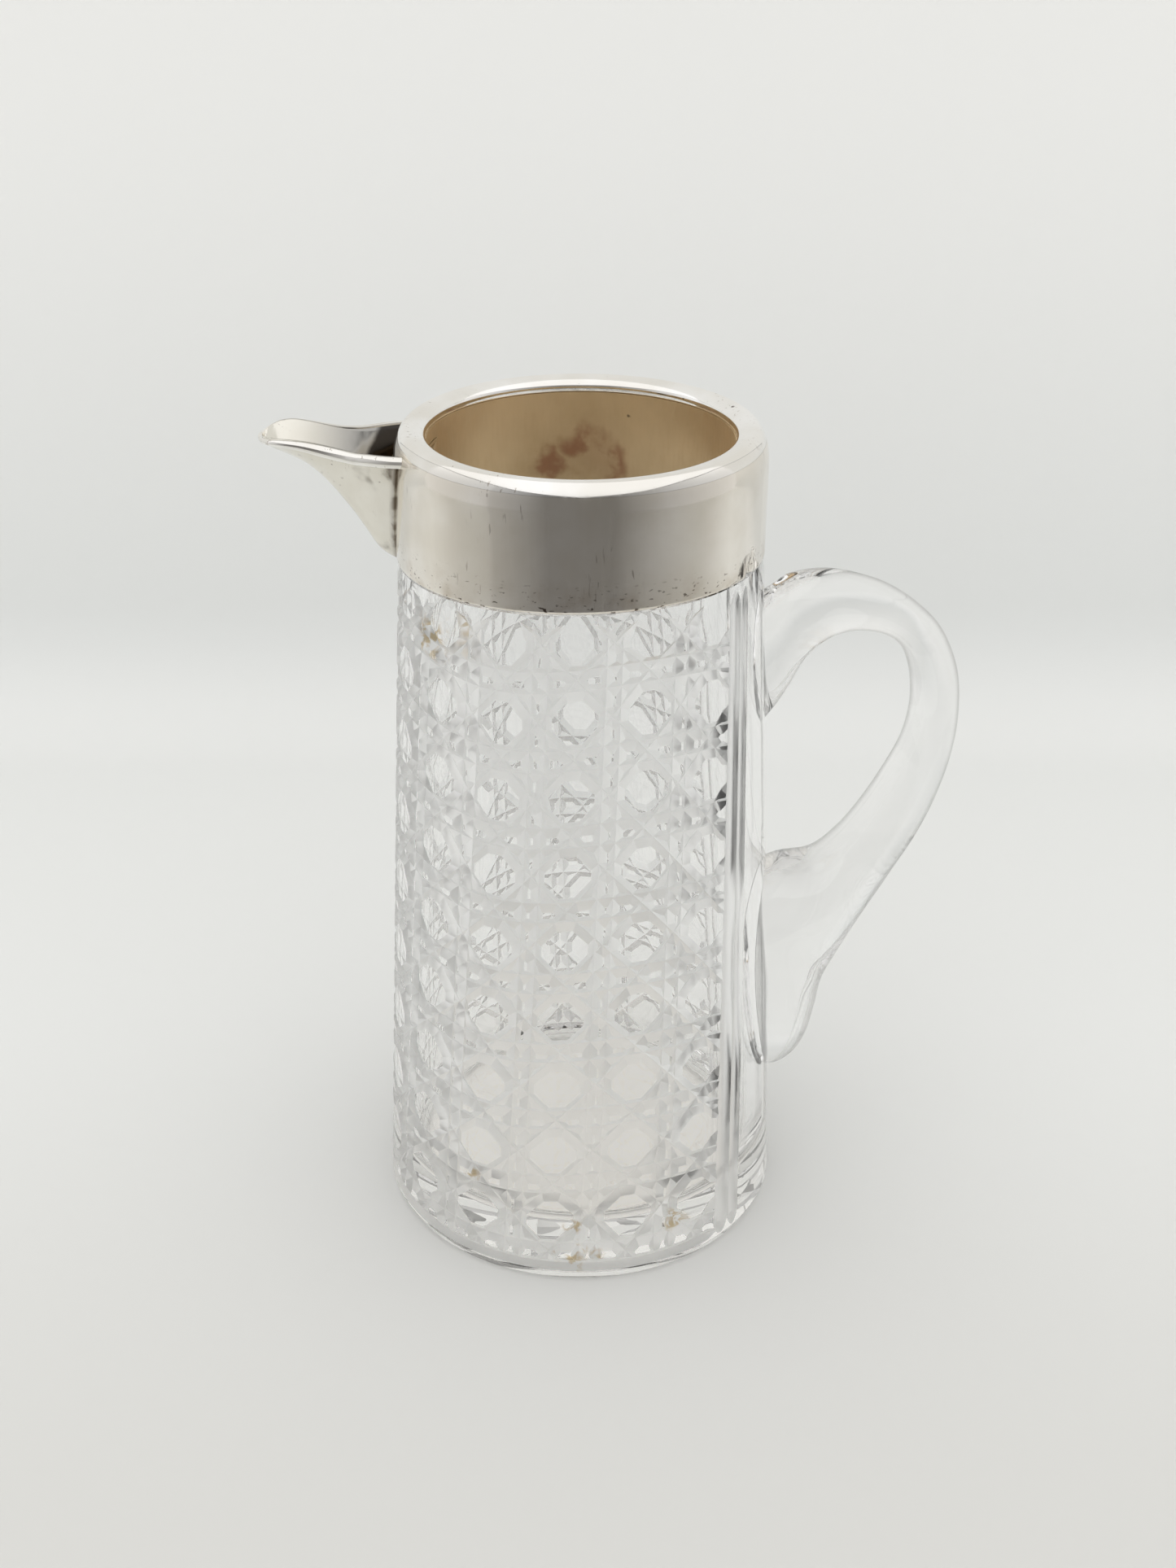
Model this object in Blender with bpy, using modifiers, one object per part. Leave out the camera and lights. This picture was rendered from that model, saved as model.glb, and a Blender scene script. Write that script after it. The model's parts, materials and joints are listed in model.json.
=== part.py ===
"""Mixing jug in cut glass, with a silver collar, a beak spout and an applied glass handle.

Frame: +Z up, origin at the middle of the flat base, +X towards the handle and -X towards the spout.
Every piece is one object. The cutters are in their own collection and are not rendered.
"""

from math import cos, pi, sin

import bmesh
import bpy
import numpy as np

MM = 0.001  # metres in a millimetre
GAP = 0.3 * MM  # clearance between pieces that touch on the real jug

# Driving dimensions of the glass body
BASE_RADIUS = 64.2 * MM
SHOULDER_RADIUS = 53.2 * MM
SHOULDER_HEIGHT = 219.7 * MM
GLASS_TOP = 232.0 * MM
NECK_RADIUS = 51.4 * MM
NECK_BORE = 46.2 * MM
WALL = 7.0 * MM
FLOOR_THICKNESS = 16.0 * MM
FLOOR_CORNER = 9.0 * MM
FOOT_BEVEL = 1.6 * MM
CAVITY_TAPER = 12.0 * MM  # how far below the shoulder the cavity starts to narrow to the neck

# Driving dimensions of the silver mount
COLLAR_RADIUS = 53.5 * MM
COLLAR_BOTTOM = 220.2 * MM
COLLAR_TOP = 250.4 * MM
SLEEVE_SHEET = 0.9 * MM
SLEEVE_EDGE = 0.3 * MM
LINER_BORE = 43.9 * MM
LINER_BOTTOM = 224.0 * MM
LINER_TOP = 253.0 * MM
RIM_TOP = 257.3 * MM
RIM_CROWN = 51.5 * MM  # radius of the rim's highest line
RIM_SLOPE = (47.4 * MM, 256.4 * MM)  # where the tangents of the rim's inner slope meet
RIM_INNER_EDGE = 254.4 * MM
RIM_SHEET = 1.1 * MM
RIM_TURN = 0.4  # how far the sheet's thickness turns from upright to level along that slope
SPOUT_SHEET = 1.1 * MM
LIP_WIRE_RADIUS = 1.5 * MM
SPOUT_SEAT = (200.0 * MM, 262.0 * MM)  # height range of the cylinder that the spout is cut to fit

# Driving dimensions of the plaster between the two sleeves
PLASTER_PLAY = 0.5 * MM
PLASTER_RECESS = 2.0 * MM

# The pour hole through the collar, a trapezium under the rim: (height, half width)
HOLE_BOTTOM = (234.0 * MM, 6.5 * MM)
HOLE_TOP = (249.0 * MM, 13.2 * MM)
HOLE_CUT = (-38.0 * MM, -60.0 * MM)  # where its cutter starts and ends along X
THROAT_SHEET = 0.9 * MM
THROAT_SPARE = 5.0 * MM  # how far the throat's blank and its cutters pass its ends

# Steps of the turned and lofted shapes
TURNED_STEPS = 64
CORNER_STEPS = 6
LIP_STEPS = 8
RIM_OUTSIDE_STEPS = 6
RIM_INSIDE_STEPS = 4
PLASTER_CROWN_STEPS = 3
HANDLE_RINGS = 48
HANDLE_SIDES = 20
SPOUT_RINGS = 26
SPOUT_SECTION_POINTS = 15
LIP_WIRE_POINTS = 46

# Spout stations from the collar to the tip: x, half width and height of the lip, height of the keel
SPOUT_STATIONS = np.array(
    [
        (-46.0, 18.2, 252.3, 214.0),
        (-50.0, 17.4, 252.2, 215.6),
        (-54.0, 16.5, 252.1, 217.6),
        (-58.3, 14.9, 252.0, 220.8),
        (-62.9, 12.9, 251.9, 227.9),
        (-66.1, 11.5, 252.2, 232.8),
        (-69.6, 10.4, 252.7, 237.5),
        (-73.8, 10.0, 253.5, 242.2),
        (-78.1, 10.2, 254.3, 245.8),
        (-83.0, 10.5, 254.8, 247.9),
        (-86.7, 9.2, 254.6, 248.9),
        (-89.0, 6.2, 254.2, 249.5),
        (-90.1, 3.2, 253.9, 249.7),
    ]
)
SPOUT_TIP = (-90.6, 0.0, 253.8)
KEEL_ROUNDNESS = 1.5  # 1 gives a sharp V, and more rounds its keel
CHEEK_SWELL = 0.85  # under 1 the cheeks of the V swell outwards

# Handle stations from the upper joint round the loop to the lower pad:
# outer x, outer z, inner x, inner z, half width, sideways offset
HANDLE_STATIONS = np.array(
    [
        (48.0, 204.0, 48.0, 156.0, 10.0, 0.0),
        (55.6, 207.8, 57.5, 168.0, 10.0, 0.0),
        (60.5, 211.4, 62.4, 176.2, 9.5, 0.0),
        (66.5, 213.0, 67.5, 186.2, 9.3, 0.0),
        (73.5, 213.2, 73.8, 192.0, 9.2, 0.0),
        (81.0, 211.8, 80.4, 194.4, 9.2, 0.0),
        (90.3, 208.6, 87.4, 194.3, 9.2, 0.0),
        (99.5, 202.8, 93.0, 192.0, 9.2, 0.0),
        (107.6, 194.6, 96.6, 187.4, 9.2, -0.1),
        (113.1, 182.0, 99.0, 179.5, 9.2, -0.3),
        (114.6, 168.0, 99.6, 169.8, 9.2, -0.7),
        (113.4, 154.8, 97.6, 159.2, 9.4, -1.3),
        (109.9, 141.5, 92.6, 148.5, 9.9, -2.2),
        (104.5, 128.5, 86.4, 137.9, 10.9, -3.3),
        (96.6, 114.9, 79.6, 128.7, 12.6, -4.5),
        (88.9, 101.8, 71.0, 121.4, 15.0, -5.6),
        (82.6, 89.6, 58.0, 119.0, 17.0, -6.4),
        (77.8, 78.9, 44.0, 108.0, 18.0, -6.9),
        (75.9, 68.0, 40.0, 92.0, 17.6, -7.0),
        (74.0, 58.3, 42.0, 74.0, 15.0, -7.0),
        (70.9, 51.1, 46.0, 60.0, 11.5, -7.0),
        (66.0, 45.9, 52.0, 51.0, 7.2, -7.0),
        (60.4, 43.8, 56.0, 46.0, 3.0, -7.0),
    ]
)


def clear_scene():
    for obj in list(bpy.data.objects):
        bpy.data.objects.remove(obj, do_unlink=True)


def new_collection(name, hidden=False):
    collection = bpy.data.collections.new(name)
    collection.hide_render = hidden
    bpy.context.scene.collection.children.link(collection)
    return collection


def material(name, colour, roughness, metallic=0.0, transmission=0.0):
    made = bpy.data.materials.new(name)
    made.use_nodes = True
    shader = made.node_tree.nodes["Principled BSDF"]
    shader.inputs["Base Color"].default_value = (*colour, 1.0)
    shader.inputs["Roughness"].default_value = roughness
    shader.inputs["Metallic"].default_value = metallic
    shader.inputs["Transmission Weight"].default_value = transmission
    made.diffuse_color = (*colour, 1.0)
    return made


def add_object(name, mesh, collection, finish=None):
    obj = bpy.data.objects.new(name, mesh)
    collection.objects.link(obj)
    if finish:
        mesh.materials.append(finish)
    return obj


def mesh_from(name, points, edges=(), faces=()):
    mesh = bpy.data.meshes.new(name)
    mesh.from_pydata([tuple(map(float, p)) for p in points], edges, faces)
    mesh.update()
    return mesh


def arc(centre, radii, start, end, steps):
    """Points (r, z) on a quarter of an ellipse, with angles in degrees from the outward direction."""
    angles = np.radians(np.linspace(start, end, steps + 1))
    return [(centre[0] + radii[0] * cos(a), centre[1] + radii[1] * sin(a)) for a in angles]


def turned(name, profile, closed, collection, finish=None):
    """A turned solid. The profile holds (r, z) and runs down its outer side."""
    count = len(profile)
    edges = [(i, i + 1) for i in range(count - 1)]
    if closed:
        edges.append((count - 1, 0))
    mesh = mesh_from(name, [(r, 0.0, z) for r, z in profile], edges=edges)
    obj = add_object(name, mesh, collection, finish)
    screw = obj.modifiers.new("Turn", "SCREW")
    screw.axis = "Z"
    screw.angle = 2 * pi
    screw.steps = TURNED_STEPS
    screw.render_steps = TURNED_STEPS
    screw.use_merge_vertices = True
    screw.merge_threshold = 0.00001
    return obj


def boolean(obj, cutter, operation="DIFFERENCE"):
    modifier = obj.modifiers.new(operation.title(), "BOOLEAN")
    modifier.operation = operation
    modifier.solver = "EXACT"
    modifier.object = cutter
    return modifier


def as_cutter(obj):
    obj.hide_render = True
    obj.display_type = "WIRE"
    return obj


def outer_radius(z):
    """Radius of the tapering glass wall at a height."""
    return BASE_RADIUS + (SHOULDER_RADIUS - BASE_RADIUS) * z / SHOULDER_HEIGHT


def smooth_path(stations, count):
    """Rows spread evenly along a Catmull-Rom curve through the stations."""
    ends = [2 * stations[0] - stations[1], 2 * stations[-1] - stations[-2]]
    knots = np.vstack([ends[0], stations, ends[1]])
    rows = []
    for u in np.linspace(0, len(stations) - 1, count):
        i = min(int(u), len(stations) - 2)
        t = u - i
        a, b, c, d = knots[i : i + 4]
        slope = c - a
        bend = 2 * a - 5 * b + 4 * c - d
        twist = 3 * (b - c) + d - a
        rows.append(b + 0.5 * (slope * t + bend * t**2 + twist * t**3))
    return np.array(rows)


def loft(name, rings, capped, collection, finish=None):
    """Skin over rings of equal count. Closed rings with caps make a solid, open ones a sheet."""
    sides = len(rings[0])
    points = [p for ring in rings for p in ring]
    around = sides if capped else sides - 1
    faces = []
    for i in range(len(rings) - 1):
        for j in range(around):
            a, b = i * sides + j, i * sides + (j + 1) % sides
            faces.append((a, b, b + sides, a + sides))
    if capped:
        faces.append(tuple(range(sides))[::-1])
        faces.append(tuple((len(rings) - 1) * sides + j for j in range(sides)))
    mesh = mesh_from(name, points, faces=faces)
    tidy = bmesh.new()
    tidy.from_mesh(mesh)
    bmesh.ops.recalc_face_normals(tidy, faces=tidy.faces)
    tidy.to_mesh(mesh)
    tidy.free()
    mesh.shade_smooth()
    return add_object(name, mesh, collection, finish)


def cylinder_cutter(name, radius, low, high, cutters):
    profile = [(0.0, high), (radius, high), (radius, low), (0.0, low)]
    return as_cutter(turned(name, profile, False, cutters))


def trapezium_prism(name, grow, x_from, x_to, cutters):
    """The pour hole's section, grown outwards on all sides, as a prism along X."""
    low, low_half = HOLE_BOTTOM[0] - grow, HOLE_BOTTOM[1] + grow
    high, high_half = HOLE_TOP[0] + grow, HOLE_TOP[1] + grow
    section = [(-low_half, low), (low_half, low), (high_half, high), (-high_half, high)]
    rings = [[(x, y, z) for y, z in section] for x in (x_from, x_to)]
    return loft(name, rings, True, cutters)


def make_glass_body(parts, finish):
    """Thick tapering tumbler. The neck is ground back so that the silver collar slips over it."""
    cavity_top = SHOULDER_HEIGHT - CAVITY_TAPER
    cavity_foot = FLOOR_THICKNESS + FLOOR_CORNER
    foot_bore = outer_radius(cavity_foot) - WALL
    corner_centre = (foot_bore - FLOOR_CORNER, cavity_foot)
    corner = arc(corner_centre, (FLOOR_CORNER, FLOOR_CORNER), -90, 0, CORNER_STEPS)
    lip = (NECK_RADIUS - NECK_BORE) / 2
    top = arc((NECK_BORE + lip, GLASS_TOP - lip), (lip, lip), 180, 0, LIP_STEPS)
    profile = [(0.0, FLOOR_THICKNESS)]
    profile += corner
    profile += [(NECK_BORE, cavity_top)]
    profile += top
    profile += [
        (NECK_RADIUS, SHOULDER_HEIGHT),
        (SHOULDER_RADIUS, SHOULDER_HEIGHT),
        (outer_radius(FOOT_BEVEL * 2), FOOT_BEVEL * 2),
        (outer_radius(0) - FOOT_BEVEL, 0.0),
        (0.0, 0.0),
    ]
    return turned("glass_body", profile, False, parts, finish)


def make_handle(parts, cutters, finish):
    """Solid glass loop drawn from a heavy upper joint, round, and down to a leaf-shaped pad."""
    rings = []
    for row in smooth_path(HANDLE_STATIONS, HANDLE_RINGS) * MM:
        outer, inner, half, side = row[0:2], row[2:4], row[4], row[5]
        ring = []
        for angle in np.arange(HANDLE_SIDES) * 2 * pi / HANDLE_SIDES:
            x, z = inner + (outer - inner) * (1 + cos(angle)) / 2
            ring.append((x, side + half * sin(angle), z))
        rings.append(ring)
    handle = loft("handle", rings, True, parts, finish)
    seat = [
        (0.0, SHOULDER_HEIGHT),
        (SHOULDER_RADIUS + GAP, SHOULDER_HEIGHT),
        (BASE_RADIUS + GAP, 0.0),
        (0.0, 0.0),
    ]
    boolean(handle, as_cutter(turned("handle_seat", seat, False, cutters)))
    return handle


def make_collar(parts, hole, finish):
    """Outer sleeve of sheet silver, round the ground neck."""
    inside = COLLAR_RADIUS - SLEEVE_SHEET
    profile = [
        (COLLAR_RADIUS, COLLAR_TOP),
        (COLLAR_RADIUS, COLLAR_BOTTOM + SLEEVE_EDGE),
        (COLLAR_RADIUS - SLEEVE_EDGE, COLLAR_BOTTOM),
        (inside, COLLAR_BOTTOM),
        (inside, COLLAR_TOP),
    ]
    collar = turned("collar_sleeve", profile, True, parts, finish)
    boolean(collar, hole)
    return collar


def make_liner(parts, hole, finish):
    """Inner sleeve of sheet silver, down inside the glass neck."""
    outside = LINER_BORE + SLEEVE_SHEET
    profile = [
        (outside, LINER_TOP),
        (outside, LINER_BOTTOM),
        (LINER_BORE, LINER_BOTTOM),
        (LINER_BORE, LINER_TOP),
    ]
    liner = turned("inner_liner", profile, True, parts, finish)
    boolean(liner, hole)
    return liner


def curve_between(start, corner, end, steps):
    """Points on the parabola from start to end whose end tangents meet at the corner."""
    start, corner, end = np.array(start), np.array(corner), np.array(end)
    shares = np.linspace(0, 1, steps + 1)
    return [tuple(start * (1 - t) ** 2 + corner * 2 * t * (1 - t) + end * t**2) for t in shares]


def rim_section(inset, steps):
    """The rim's outline, from its outer foot over the crown and down the slope to its inner edge."""
    foot = COLLAR_TOP + GAP
    across = COLLAR_RADIUS - RIM_CROWN - inset
    outer = arc((RIM_CROWN, foot), (across, RIM_TOP - foot - inset), 0, 90, steps)
    start = (RIM_CROWN, RIM_TOP - inset)
    corner = (RIM_SLOPE[0] + inset * RIM_TURN, RIM_SLOPE[1] - inset)
    end = (LINER_BORE + inset, RIM_INNER_EDGE - inset * RIM_TURN)
    return outer + curve_between(start, corner, end, steps)[1:]


def make_rim(parts, finish):
    """Domed mouth ring, raised from sheet and open underneath."""
    foot = LINER_TOP + GAP
    over = rim_section(0.0, RIM_OUTSIDE_STEPS)
    under = rim_section(RIM_SHEET, RIM_INSIDE_STEPS)
    profile = over[::-1] + under + [(LINER_BORE + RIM_SHEET, foot), (LINER_BORE, foot)]
    return turned("mouth_rim", profile, True, parts, finish)


def make_plaster(parts, hole, finish):
    """Plaster that beds the silver on the glass lip: an upturned channel with two thin legs."""
    crown = rim_section(RIM_SHEET + GAP, PLASTER_CROWN_STEPS)
    inner = LINER_BORE + SLEEVE_SHEET + PLASTER_PLAY
    outer = COLLAR_RADIUS - SLEEVE_SHEET - GAP
    lip_top = GLASS_TOP + GAP
    outer_foot = COLLAR_BOTTOM + PLASTER_RECESS
    inner_foot = LINER_BOTTOM + PLASTER_RECESS
    profile = [(min(r, outer), z) for r, z in crown[::-1]]
    profile += [
        (outer, outer_foot),
        (NECK_RADIUS + GAP, outer_foot),
        (NECK_RADIUS + GAP, lip_top),
        (NECK_BORE - GAP, lip_top),
        (NECK_BORE - GAP, inner_foot),
        (inner, inner_foot),
    ]
    plaster = turned("plaster_bed", profile, True, parts, finish)
    boolean(plaster, hole)
    return plaster


def make_throat(parts, cutters, finish):
    """Short soldered sleeve that carries the liquid through the double wall to the spout."""
    inner_end = THROAT_SPARE - LINER_BORE
    outer_end = -THROAT_SPARE - COLLAR_RADIUS
    throat = trapezium_prism("spout_throat", -GAP, inner_end, outer_end, parts)
    throat.data.materials.append(finish)
    inside = (inner_end + THROAT_SPARE, outer_end - THROAT_SPARE)
    channel = trapezium_prism("throat_channel", -GAP - THROAT_SHEET, *inside, cutters)
    boolean(throat, as_cutter(channel))
    low, high = HOLE_BOTTOM[0] - THROAT_SPARE, HOLE_TOP[0] + THROAT_SPARE
    boolean(throat, cylinder_cutter("liner_bore", LINER_BORE, low, high, cutters))
    ends = cylinder_cutter("collar_outside", COLLAR_RADIUS, low, high, cutters)
    boolean(throat, ends, "INTERSECT")
    return throat


def make_spout(parts, cutters, finish):
    """V-shaped beak of sheet silver, open on top, cut to fit the round collar."""
    rings = []
    for x, half, lip, keel in smooth_path(SPOUT_STATIONS, SPOUT_RINGS) * MM:
        lean = half / np.hypot(half, lip - keel)
        top = lip - 2 * LIP_WIRE_RADIUS - GAP - lean * SPOUT_SHEET / 2
        ring = []
        for t in np.linspace(-1, 1, SPOUT_SECTION_POINTS):
            rise = abs(t) ** KEEL_ROUNDNESS
            ring.append((x, np.sign(t) * half * rise**CHEEK_SWELL, keel + (top - keel) * rise))
        rings.append(ring)
    spout = loft("spout_shell", rings, False, parts, finish)
    sheet = spout.modifiers.new("Sheet", "SOLIDIFY")
    sheet.thickness = SPOUT_SHEET
    sheet.offset = 0.0
    sheet.use_even_offset = True
    boolean(spout, cylinder_cutter("spout_seat", COLLAR_RADIUS + GAP, *SPOUT_SEAT, cutters))
    return spout


def make_lip_wire(parts, finish):
    """Half-round moulding that stiffens the spout's edge, from the collar round the tip and back."""
    outside = SPOUT_STATIONS[2:]
    side = [(x, half, lip - LIP_WIRE_RADIUS / MM) for x, half, lip, _ in outside]
    tip = (SPOUT_TIP[0], SPOUT_TIP[1], SPOUT_TIP[2] - LIP_WIRE_RADIUS / MM)
    stations = np.array(side + [tip] + [(x, -y, z) for x, y, z in side[::-1]])
    path = smooth_path(stations, LIP_WIRE_POINTS) * MM
    curve = bpy.data.curves.new("spout_lip_wire", "CURVE")
    curve.dimensions = "3D"
    curve.bevel_depth = LIP_WIRE_RADIUS
    curve.bevel_resolution = 2
    curve.use_fill_caps = True
    spline = curve.splines.new("POLY")
    spline.points.add(len(path) - 1)
    for point, place in zip(spline.points, path):
        point.co = (*map(float, place), 1.0)
    curve.materials.append(finish)
    wire = bpy.data.objects.new("spout_lip_wire", curve)
    parts.objects.link(wire)
    return wire


def main():
    clear_scene()
    parts = new_collection("mixing_jug")
    cutters = new_collection("cutters", hidden=True)
    glass = material("glass", (0.95, 0.96, 0.95), 0.02, transmission=1.0)
    silver = material("silver", (0.78, 0.75, 0.70), 0.18, metallic=1.0)
    tarnished = material("tarnished_silver", (0.52, 0.43, 0.30), 0.35, metallic=1.0)
    plaster = material("plaster", (0.85, 0.82, 0.76), 0.9)

    hole = as_cutter(trapezium_prism("pour_hole", 0.0, *HOLE_CUT, cutters))
    make_glass_body(parts, glass)
    make_handle(parts, cutters, glass)
    make_collar(parts, hole, silver)
    make_rim(parts, silver)
    make_liner(parts, hole, tarnished)
    make_plaster(parts, hole, plaster)
    make_throat(parts, cutters, tarnished)
    make_spout(parts, cutters, silver)
    make_lip_wire(parts, silver)


main()
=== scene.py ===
"""Looks of a mixing jug in cut glass with a silver collar, a beak spout and an applied glass handle.

Lengths are in millimetres until a mesh is made. An azimuth is in degrees round the jug's axis: 0 is
the front (-Y) and 90 is the handle's side (+X). Heights are above the table.
"""

import json
from math import atan2, cos, hypot, pi, radians, sin, tan

import bmesh
import bpy
import numpy as np
from mathutils import Matrix, Vector

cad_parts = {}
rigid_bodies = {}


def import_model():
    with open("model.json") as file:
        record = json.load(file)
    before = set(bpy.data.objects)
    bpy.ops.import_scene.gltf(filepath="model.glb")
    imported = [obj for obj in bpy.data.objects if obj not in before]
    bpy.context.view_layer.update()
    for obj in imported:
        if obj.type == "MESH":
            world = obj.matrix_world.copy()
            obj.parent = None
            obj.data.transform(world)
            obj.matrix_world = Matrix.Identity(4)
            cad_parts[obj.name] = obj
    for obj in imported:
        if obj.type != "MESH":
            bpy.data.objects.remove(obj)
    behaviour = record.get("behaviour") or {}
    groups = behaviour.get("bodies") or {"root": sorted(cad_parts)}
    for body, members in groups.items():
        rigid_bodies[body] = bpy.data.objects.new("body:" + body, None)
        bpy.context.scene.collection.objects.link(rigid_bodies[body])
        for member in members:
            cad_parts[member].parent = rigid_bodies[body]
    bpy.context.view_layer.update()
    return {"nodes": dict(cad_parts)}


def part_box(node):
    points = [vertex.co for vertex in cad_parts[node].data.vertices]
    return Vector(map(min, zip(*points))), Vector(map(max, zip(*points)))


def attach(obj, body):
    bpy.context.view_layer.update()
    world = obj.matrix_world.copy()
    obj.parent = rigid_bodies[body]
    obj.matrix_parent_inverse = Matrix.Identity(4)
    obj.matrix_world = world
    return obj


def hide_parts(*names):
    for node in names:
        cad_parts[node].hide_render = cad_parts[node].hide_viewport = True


for leftover in list(bpy.data.objects):
    bpy.data.objects.remove(leftover, do_unlink=True)

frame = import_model()

MM = 0.001


def top_of(node):
    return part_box(node)[1] / MM


def bottom_of(node):
    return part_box(node)[0] / MM


# Glass body
FOOT_TOP = 3.2
FOOT_RADIUS = top_of("glass_body").x
GLASS_TOP = top_of("glass_body").z
SHOULDER_HEIGHT = 219.7
SHOULDER_RADIUS = 53.2
TAPER = (FOOT_RADIUS - SHOULDER_RADIUS) / (SHOULDER_HEIGHT - FOOT_TOP)
FOOT_BEVEL = 1.6
NECK_RADIUS = 51.4
NECK_BORE = 46.2
WALL = 7.0
FLOOR_THICKNESS = 16.0
FLOOR_CORNER = 9.0
CAVITY_TAPER = 12.0

# Cut pattern: octagons between pairs of mitre cuts, in cells of one pitch, with a lean up the body
PITCH = 23.7
COLUMN_DEGREES = 22.0
UNITS_PER_DEGREE = PITCH / COLUMN_DEGREES
COLUMNS = 13
ROWS = 9
FIRST_COLUMN = 39.3
FIRST_ROW = 20.9
LEAN_DEGREES = 0.042
LEAN_HEIGHT = 115.0
UPRIGHT_SPREAD = 0.106
LEVEL_SPREAD = 0.136
CUT_HALF = 2.2
CUT_DEPTH = 1.4
CUT_BOTTOM = 4.4
CUT_TOP = 217.6
RUN_OUT = 5.0
PATTERN_EDGE = 46.5
FLUTES = ((PATTERN_EDGE, 52.4), (52.4, 57.4))
FLUTE_DEPTH = 0.85
MIRROR_AZIMUTH = 87.3
STRIP_DEGREES = 2.0

# Silver
COLLAR_RADIUS = top_of("collar_sleeve").x
COLLAR_BOTTOM = bottom_of("collar_sleeve").z
SLEEVE_SHEET = 0.9
LINER_BORE = 43.9
LINER_BOTTOM = bottom_of("inner_liner").z
# The rim's crown and its inner lip, as radius and height, and how square its curves are
RIM_CROWN = (49.4, 256.9)
SHOULDER = 9.7
SHOULDER_POWER = 1.9
RIM_LIP = (44.1, 254.2)
RIM_LIP_POWER = 2.3
RIM_WALL = 1.3
RIM_SHEET = 1.1
SEAM_ANGLE = 42.0
MOUNT_TILT = 0.021
PLASTER_TOP = 251.0
# The pour hole's two ends, as height and half width
HOLE_BOTTOM = (234.0, 6.5)
HOLE_TOP = (249.0, 13.2)
SPOUT_SHEET = 1.1

# Along the spout: place on X, half width of the lip, height of the lip, height of the keel
SPOUT_STATIONS = np.array(
    [
        (-46.0, 18.2, 252.3, 214.0),
        (-50.0, 17.4, 252.2, 215.6),
        (-54.0, 16.5, 252.1, 217.6),
        (-58.3, 14.9, 252.0, 220.8),
        (-62.9, 12.9, 251.9, 227.9),
        (-66.1, 11.5, 252.2, 232.8),
        (-69.6, 10.4, 252.7, 237.5),
        (-73.8, 10.0, 253.5, 242.2),
        (-78.1, 10.2, 254.3, 245.8),
        (-83.0, 10.5, 254.8, 248.3),
        (-86.7, 9.2, 254.6, 249.9),
        (-89.0, 6.2, 254.2, 251.3),
        (-90.1, 3.2, 253.9, 252.3),
    ]
)
SPOUT_TIP_X = -90.6
LIP_RINGS = 200
LIP_OVERLAP = 1.6
KEEL_ROUNDNESS = 1.5
CHEEK_SWELL = 0.85
# Darkening inside the spout, in metres: the black ends on a slanting line, and the grey fades along X
BLACK_LEAN = -0.5
BLACK_EDGE = (-0.1835, -0.1815)
GREY_EDGE = (-0.086, -0.062)

# Along the handle: outer X and Z, inner X and Z, half width, and how far its middle is off on Y
HANDLE_STATIONS = np.array(
    [
        (48.0, 204.0, 48.0, 156.0, 10.0, 0.0),
        (55.6, 207.8, 57.5, 168.0, 10.0, 0.0),
        (60.5, 211.4, 62.4, 176.2, 9.5, 0.0),
        (66.5, 213.0, 67.5, 186.2, 9.3, 0.0),
        (73.5, 213.2, 73.8, 192.0, 9.2, 0.0),
        (81.0, 211.8, 80.4, 194.4, 9.2, 0.0),
        (90.3, 208.6, 87.4, 194.3, 9.2, 0.0),
        (99.5, 202.8, 93.0, 192.0, 9.2, 0.0),
        (107.6, 194.6, 96.6, 187.4, 9.2, -0.1),
        (113.1, 182.0, 99.0, 179.5, 9.2, -0.3),
        (114.6, 168.0, 99.6, 169.8, 9.2, -0.7),
        (113.4, 154.8, 97.6, 159.2, 9.4, -1.3),
        (109.9, 141.5, 92.6, 148.5, 9.9, -2.2),
        (104.5, 128.5, 86.4, 137.9, 10.9, -3.3),
        (96.6, 114.9, 79.6, 128.7, 12.6, -4.5),
        (88.9, 101.8, 71.0, 121.4, 15.0, -5.6),
        (82.6, 89.6, 58.0, 119.0, 17.0, -6.4),
        (77.8, 78.9, 44.0, 108.0, 18.0, -6.9),
        (75.9, 68.0, 40.0, 92.0, 17.6, -7.0),
        (74.0, 58.3, 42.0, 74.0, 15.0, -7.0),
        (70.9, 51.1, 46.0, 60.0, 11.5, -7.0),
        (66.0, 45.9, 52.0, 51.0, 7.2, -7.0),
        (60.4, 43.8, 56.0, 46.0, 3.0, -7.0),
    ]
)
HANDLE_RINGS = 150
HANDLE_SIDES = 48
SEAT_OVERLAP = 0.35

# Stage, in metres
WALL_Y = 0.356
COVE_RADIUS = 0.06
STAGE_HALF_WIDTH = 1.6
CARD_DISTANCE = 0.46
DIM_FULL, DIM_END = 19.0, 98.0
DIM_STEP = (-54.0, -52.0)
# The dim room's edge: azimuth, height of its top, and height of the dark band under the top
DIM_EDGE = (
    (0.0, 0.447, 0.004),
    (40.0, 0.500, 0.010),
    (71.0, 0.586, 0.030),
    (100.0, 0.586, 0.022),
    (124.0, 0.400, 0.008),
    (146.0, 0.210, 0.006),
)
# Painted light: strength of the glow painted on the floor under the jug
JUG_GLOW = 0.38
WALL_HEIGHT = 1.0
FLOOR_FRONT = -4.0
FLOOR_Z = -0.0003
CAMERA_TARGET = (0.0, 0.0, 0.1424)
CAMERA_DISTANCE = 0.5928
CAMERA_PITCH, CAMERA_YAW, CAMERA_ROLL = 27.08, 0.222, 0.079
CAMERA_LENS = 43.902

random = np.random.default_rng(11)


# ---------------------------------------------------------------- mesh helpers


def add_object(name, mesh, finish=None):
    obj = bpy.data.objects.new(name, mesh)
    bpy.context.scene.collection.objects.link(obj)
    if finish:
        mesh.materials.append(finish)
    return obj


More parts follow.
